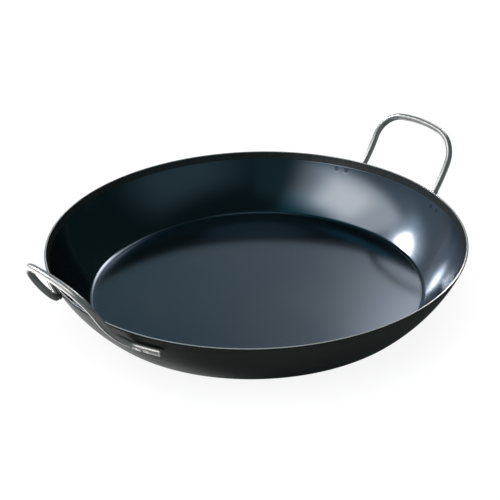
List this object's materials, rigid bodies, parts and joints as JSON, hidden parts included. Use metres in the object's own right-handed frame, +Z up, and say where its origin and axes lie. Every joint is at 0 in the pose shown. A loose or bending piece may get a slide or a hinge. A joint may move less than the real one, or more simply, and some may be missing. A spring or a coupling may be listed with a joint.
{
  "type": "two-handled pan",
  "caption": "Shallow round pan of blued sheet steel with a flat floor, a sloped wall and a bent wire handle welded on each side.",
  "frame": {"origin": "centre of the flat underside, where the pan rests", "axes": "+Z up along the pan's axis; +X towards the middle of the right handle; +Y completes the right-handed frame"},
  "size_m": [0.3538, 0.3, 0.0792],
  "materials": {
    "blued_steel": "blued, satin, dark blue-grey",
    "handle_wire": "bright drawn stainless wire",
    "weld": "dull, heat-tinted"
  },
  "bodies": {
    "root": {"pan_shell": "blued_steel", "right_handle": "handle_wire", "left_handle": "handle_wire", "right_handle_weld_1": "weld", "right_handle_weld_2": "weld", "right_handle_weld_3": "weld", "right_handle_weld_4": "weld", "left_handle_weld_1": "weld", "left_handle_weld_2": "weld", "left_handle_weld_3": "weld", "left_handle_weld_4": "weld"}
  },
  "joints": []
}
